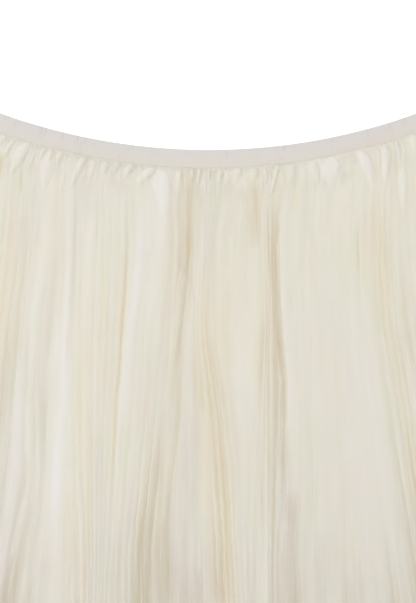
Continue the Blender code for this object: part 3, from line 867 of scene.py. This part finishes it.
class Nodes:
    """Short calls that add nodes to one material."""

    def __init__(self, name):
        self.material = bpy.data.materials.new(name)
        self.material.use_nodes = True
        self.tree = self.material.node_tree
        self.tree.nodes.clear()

    def add(self, kind, settings=None, **inputs):
        """A new node with its settings, and its inputs linked or set by their names."""
        node = self.tree.nodes.new(kind)
        for key, value in (settings or {}).items():
            setattr(node, key, value)
        for key, value in inputs.items():
            self.put(node, key.replace("_", " "), value)
        return node

    def attribute(self, name):
        """The value that a mesh holds at each of its points."""
        return self.add("ShaderNodeAttribute", {"attribute_name": name}).outputs["Fac"]

    def math(self, operation, first, second=0.0):
        node = self.add("ShaderNodeMath", {"operation": operation})
        self.put(node, "0", first)
        self.put(node, "1", second)
        return node.outputs[0]

    def sum(self, first, second):
        return self.math("ADD", first, second)

    def product(self, first, second):
        return self.math("MULTIPLY", first, second)

    def noise(self, place, scale, detail=2.0):
        return self.add("ShaderNodeTexNoise", None, Vector=place, Scale=scale, Detail=detail).outputs["Fac"]

    def cloth_place(self, across, stretch, layer):
        """A place on the cloth, in pleats across and in stretched metres down from the band."""
        down = self.product(self.attribute("down"), stretch)
        return self.add("ShaderNodeCombineXYZ", None, X=across, Y=down, Z=layer).outputs[0]

    def remap(self, value, old, new):
        """A value taken from one range to another, and kept within it."""
        node = self.add("ShaderNodeMapRange", None, Value=value)
        for label, number in zip(("From Min", "From Max", "To Min", "To Max"), (*old, *new)):
            node.inputs[label].default_value = number
        return node.outputs["Result"]

    def multiply(self, color, by):
        node = self.add("ShaderNodeMix", {"data_type": "RGBA", "blend_type": "MULTIPLY"})
        self.put(node, "0", 1.0)
        self.put(node, "6", color)
        self.put(node, "7", by)
        return node.outputs[2]

    def ramp(self, share, stops):
        """The colour at a share of the way through stops."""
        node = self.add("ShaderNodeValToRGB", None, Fac=share)
        elements = node.color_ramp.elements
        while len(elements) < len(stops):
            elements.new(0.5)
        for element, (position, color) in zip(elements, stops):
            element.position = position
            element.color = (*color, 1)
        return node.outputs["Color"]

    def bump(self, height, strength):
        """The normal of a fine relief."""
        relief = self.add("ShaderNodeBump", None, Height=height, Strength=strength, Distance=RELIEF_DEPTH)
        return relief.outputs["Normal"]

    def finished(self, shader):
        """The material, with this shader as its surface."""
        self.add("ShaderNodeOutputMaterial", None, Surface=shader)
        return self.material

    def put(self, node, socket, value):
        """Link or set an input, given by its name or by its number as text."""
        socket = node.inputs[int(socket)] if socket.isdigit() else node.inputs[socket]
        if isinstance(value, bpy.types.NodeSocket):
            self.tree.links.new(value, socket)
        else:
            socket.default_value = value


def cloth_material(name):
    """Sheer ivory crepe: light comes through it. Its colour carries painted light and shade: deeper and
    warmer partly for stacked folds and partly as painted shade, whiter and pearlier as painted light and
    sheen.
    """
    nodes = Nodes(name)
    coords = nodes.add("ShaderNodeTexCoord").outputs["Object"]
    pleat = nodes.attribute("pleat")

    # Long soft streaks that follow the pleats
    streak = nodes.remap(nodes.noise(nodes.cloth_place(pleat, 14, 0.0), 1.1, 3.0), (0.3, 0.7), (-0.16, 0.16))
    gold = nodes.remap(nodes.noise(nodes.cloth_place(pleat, 9, 7.3), 0.6), (0.3, 0.7), (-0.35, 0.35))
    hue = nodes.remap(nodes.noise(nodes.cloth_place(pleat, 25, 3.1), 0.9, 3.0), (0.3, 0.7), (0, 1))

    # Thin jagged lines of painted light and shade between the creases, sharper where the pleats are
    jag = nodes.remap(nodes.noise(nodes.cloth_place(pleat, 220, 5.7), 0.7), (0.3, 0.7), (-0.1, 0.1))
    jag = nodes.product(jag, nodes.attribute("narrow"))
    fine = nodes.noise(nodes.cloth_place(nodes.sum(pleat, jag), 4, 9.1), 7.0)
    light = nodes.remap(fine, (0.57, 0.68), (0, 0.36))
    dark = nodes.remap(fine, (0.32, 0.43), (-0.22, 0))
    lines = nodes.product(nodes.sum(light, dark), nodes.attribute("crisp"))

    # The tone and warmth attributes, with the streaks and lines, paint light and shade into the colour
    tone = nodes.sum(nodes.sum(nodes.attribute("tone"), streak), lines)
    warmth = nodes.sum(nodes.attribute("warmth"), gold)
    color = nodes.ramp(nodes.remap(tone, (-1.5, 1.5), (0, 1)), CLOTH_TONES)
    color = nodes.multiply(color, nodes.ramp(nodes.remap(warmth, (-1.5, 1.5), (0, 1)), CLOTH_TINTS))
    color = nodes.multiply(color, nodes.ramp(hue, CLOTH_HUES))

    grain = nodes.noise(coords, 1500.0, 3.0)
    body = nodes.add("ShaderNodeBsdfPrincipled", None, Base_Color=color, Roughness=0.75)
    body.inputs["Sheen Weight"].default_value = 0.15
    body.inputs["Sheen Roughness"].default_value = 0.5
    body.inputs["Specular IOR Level"].default_value = 0.25
    nodes.put(body, "Normal", nodes.bump(grain, 0.15))
    through = nodes.add("ShaderNodeBsdfTranslucent", None, Color=color)
    mixed = nodes.add("ShaderNodeMixShader", None, Fac=0.45)
    nodes.tree.links.new(body.outputs[0], mixed.inputs[1])
    nodes.tree.links.new(through.outputs[0], mixed.inputs[2])
    return nodes.finished(mixed.outputs[0])


def elastic_material():
    """Matt ribbed elastic, a little greyer at its top edge and creamier towards the cloth."""
    nodes = Nodes("ribbed_elastic")
    coords = nodes.add("ShaderNodeTexCoord").outputs["Object"]
    color = nodes.ramp(nodes.remap(nodes.attribute("across"), (-0.5, 0.5), (0, 1)), BAND_COLORS)
    strand = nodes.add("ShaderNodeCombineXYZ", None, X=nodes.attribute("rib"), Y=nodes.attribute("across"))
    thin = nodes.remap(nodes.noise(strand.outputs[0], 1.3), (0.5, 0.68), (0, 1))
    clustered = nodes.remap(nodes.noise(strand.outputs[0], 0.1, 0.0), (0.45, 0.65), (0.01, 0.13))
    upward = nodes.remap(nodes.attribute("across"), (-0.3, 0.2), (0.35, 1))
    leftward = nodes.remap(nodes.attribute("rib"), (80, 160), (1.5, 0.8))
    lines = nodes.product(nodes.product(thin, clustered), nodes.product(upward, leftward))
    color = nodes.multiply(color, nodes.remap(lines, (0, 1), (1, 0)))
    tint = nodes.remap(nodes.noise(coords, 90.0), (0.35, 0.65), (0, 1))
    color = nodes.multiply(color, nodes.ramp(tint, BAND_TINTS))
    grain = nodes.noise(coords, 1300.0, 3.0)
    body = nodes.add("ShaderNodeBsdfPrincipled", None, Base_Color=color, Roughness=0.85)
    body.inputs["Specular IOR Level"].default_value = 0.1
    nodes.put(body, "Normal", nodes.bump(grain, 0.25))
    return nodes.finished(body.outputs[0])


def hem_material():
    """The same crepe, rolled and overcast with fine thread along its edges."""
    nodes = Nodes("rolled_crepe")
    thread = nodes.math("SINE", nodes.product(nodes.attribute("wound"), 2 * math.pi / STITCH_PITCH))
    color = nodes.ramp(nodes.remap(thread, (-1, 1), (0, 1)), HEM_COLORS)
    body = nodes.add("ShaderNodeBsdfPrincipled", None, Base_Color=color, Roughness=0.75)
    body.inputs["Sheen Weight"].default_value = 0.15
    body.inputs["Specular IOR Level"].default_value = 0.25
    nodes.put(body, "Normal", nodes.bump(thread, 0.5))
    return nodes.finished(body.outputs[0])


def floor_material():
    """A plain white table top that shows hardly any shadow."""
    nodes = Nodes("white_table")
    body = nodes.add("ShaderNodeBsdfPrincipled", None, Base_Color=(0.95, 0.95, 0.95, 1), Roughness=0.9)
    body.inputs["Emission Color"].default_value = (1, 1, 1, 1)
    body.inputs["Emission Strength"].default_value = 0.22
    return nodes.finished(body.outputs[0])


# ------------------------------
# Stage


def make_table():
    """A wide white table top just below the skirt."""
    around = ((-1, -1), (1, -1), (1, 1), (-1, 1))
    corners = [(TABLE_HALF_WIDTH * x, TABLE_HALF_WIDTH * y, -TABLE_DROP) for x, y in around]
    mesh = bpy.data.meshes.new("table")
    mesh.from_pydata(corners, [], [(0, 1, 2, 3)])
    mesh.materials.append(floor_material())
    table = bpy.data.objects.new("table", mesh)
    bpy.context.collection.objects.link(table)


def make_room():
    """Soft white light from all round, a little weaker overhead."""
    world = bpy.data.worlds.new("white_room")
    world.use_nodes = True
    nodes = world.node_tree.nodes
    direction = nodes.new("ShaderNodeTexCoord").outputs["Generated"]
    axes = nodes.new("ShaderNodeSeparateXYZ")
    height = nodes.new("ShaderNodeMapRange")
    height.interpolation_type = "SMOOTHSTEP"
    limits = (*ROOM_LIGHT_HEIGHTS, *ROOM_LIGHT)
    for socket, value in zip(("From Min", "From Max", "To Min", "To Max"), limits):
        height.inputs[socket].default_value = value
    nodes["Background"].inputs["Color"].default_value = (1, 1, 1, 1)
    for start, end in (
        (direction, axes.inputs[0]),
        (axes.outputs["Z"], height.inputs["Value"]),
        (height.outputs["Result"], nodes["Background"].inputs["Strength"]),
    ):
        world.node_tree.links.new(start, end)
    bpy.context.scene.world = world


def make_lamp(name, place, width, power):
    """A round soft lamp that faces the skirt's upper part."""
    light = bpy.data.lights.new(name, "AREA")
    light.shape = "DISK"
    light.size = width
    light.energy = power
    lamp = bpy.data.objects.new(name, light)
    lamp.location = place
    lamp.rotation_euler = (Vector(LAMPS_AIM) - Vector(place)).to_track_quat("-Z", "Y").to_euler()
    bpy.context.collection.objects.link(lamp)


def make_camera():
    """A camera straight above the waist, with the band's top and the centre line in their places."""
    data = bpy.data.cameras.new("camera")
    data.sensor_width = SENSOR_WIDTH
    data.lens = data.sensor_width * CAMERA_DISTANCE / (PICTURE_ROWS * PIXEL)
    across = (PICTURE_COLUMNS / 2 - CENTRE_LINE_COLUMN) * PIXEL
    down = (PICTURE_ROWS / 2 - BAND_TOP_ROW) * PIXEL
    camera = bpy.data.objects.new("camera", data)
    camera.location = (across, WAIST_Y + BAND_HEIGHT - down, BAND_DEPTH + CAMERA_DISTANCE)
    bpy.context.collection.objects.link(camera)
    bpy.context.scene.camera = camera
    bpy.context.scene.view_settings.view_transform = "Standard"


def make_stage():
    """A white table in a white room, lamps above it and the camera."""
    make_table()
    make_room()
    for lamp in LAMPS:
        make_lamp(*lamp)
    make_camera()


def main():
    """Make the stage and every piece, give each its material, hang it under the root, and hide the model
    part it stands for.
    """
    make_stage()
    cloth = cloth_material("ivory_crepe")
    front, back, band = make_front(), make_back(), make_band()
    front_grid, back_grid = grid_points(front), grid_points(back)
    front_hem = edge_bead("hem_front", front_grid[-1], HEM_ROLL)
    back_hem = edge_bead("hem_back", back_grid[-1] + (0, 0, HEM_ROLL - BACK_VALLEY), HEM_ROLL)
    left_seam = edge_bead("side_seam_left", front_grid[len(UNDER_BAND):, 0], HEM_ROLL)
    right_seam = edge_bead("side_seam_right", front_grid[len(UNDER_BAND):, -1], HEM_ROLL)
    rolled = hem_material()
    for piece, node, slot, material in (
        (front, "panel_front", "cloth", cloth),
        (back, "panel_back", "cloth_behind", cloth),
        (band, "waistband", "elastic", elastic_material()),
        (front_hem, None, "cloth", rolled),
        (back_hem, None, "cloth_behind", rolled),
        (left_seam, None, "cloth", rolled),
        (right_seam, None, "cloth", rolled),
    ):
        piece.data.materials.append(material)
        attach(piece, "root")
        if node:
            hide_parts(node)


main()
